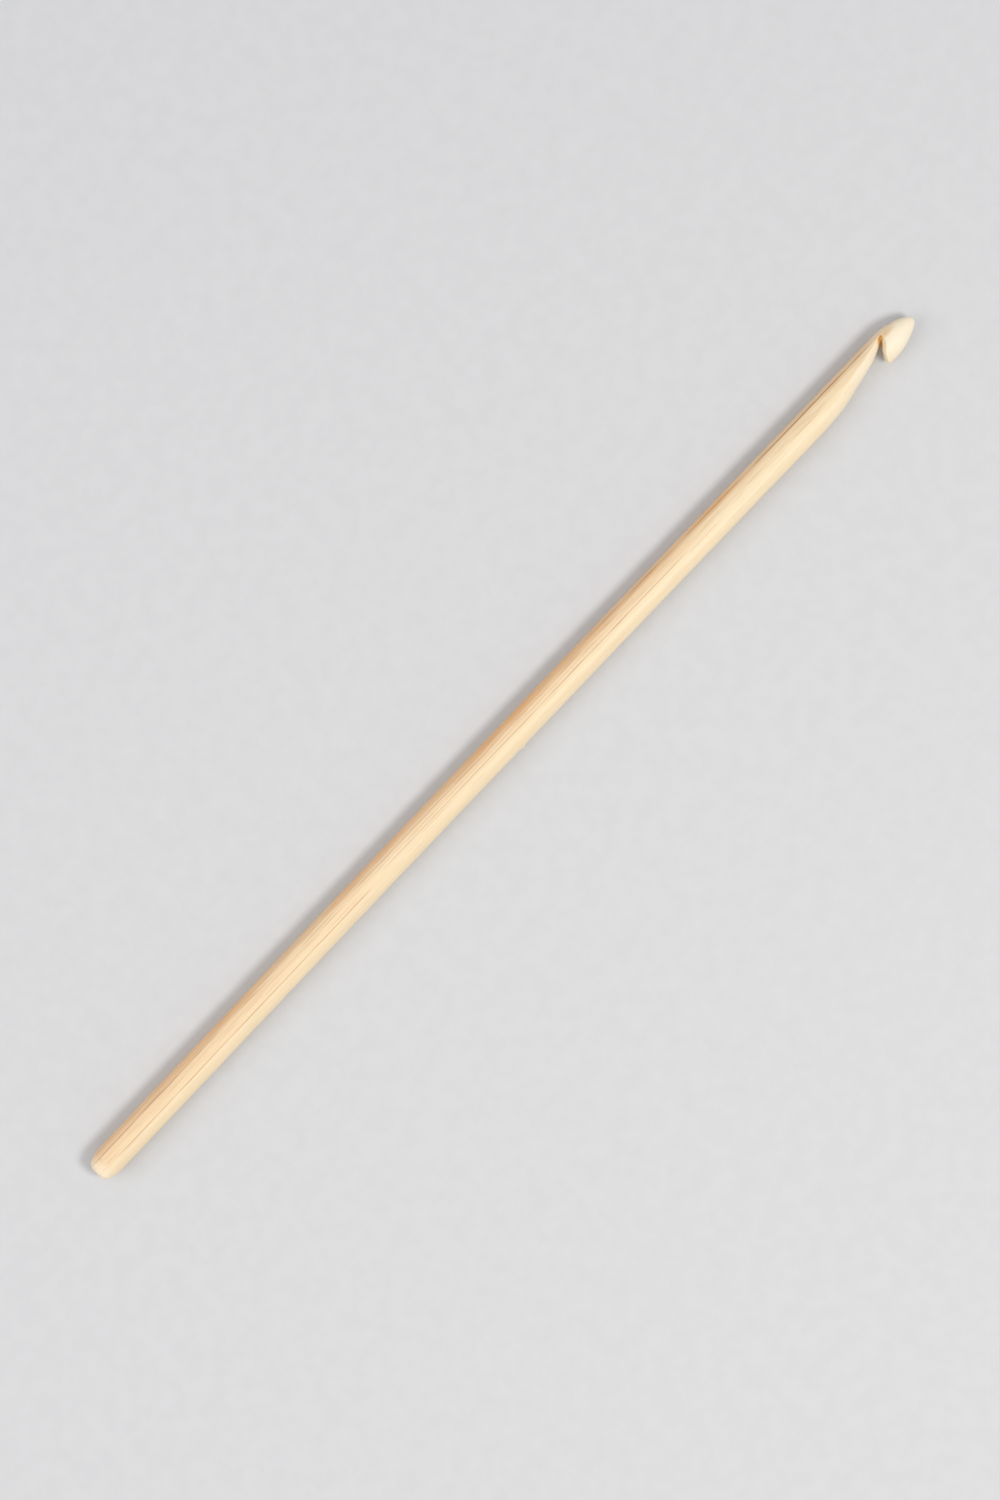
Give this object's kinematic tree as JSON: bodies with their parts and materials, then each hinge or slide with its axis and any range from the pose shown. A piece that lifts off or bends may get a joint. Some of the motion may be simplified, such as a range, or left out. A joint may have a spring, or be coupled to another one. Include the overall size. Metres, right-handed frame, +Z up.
{
  "type": "crochet hook",
  "caption": "Slim bamboo crochet hook: a plain round shaft with a sanded butt, a long tapered throat, a slanting mouth that catches the yarn, and a rounded nose.",
  "frame": {"origin": "middle of the bottom of the bounding box: under the axis, on the surface that the hook lies on, half way between the butt and the tip", "axes": "+X along the shaft from the butt to the tip, -Y out of the mouth, +Z up when the hook lies flat on its side"},
  "size_m": [0.15, 0.004, 0.0041],
  "materials": {
    "bamboo": "satin"
  },
  "bodies": {
    "root": {"shaft": "bamboo", "head": "bamboo"}
  },
  "joints": []
}
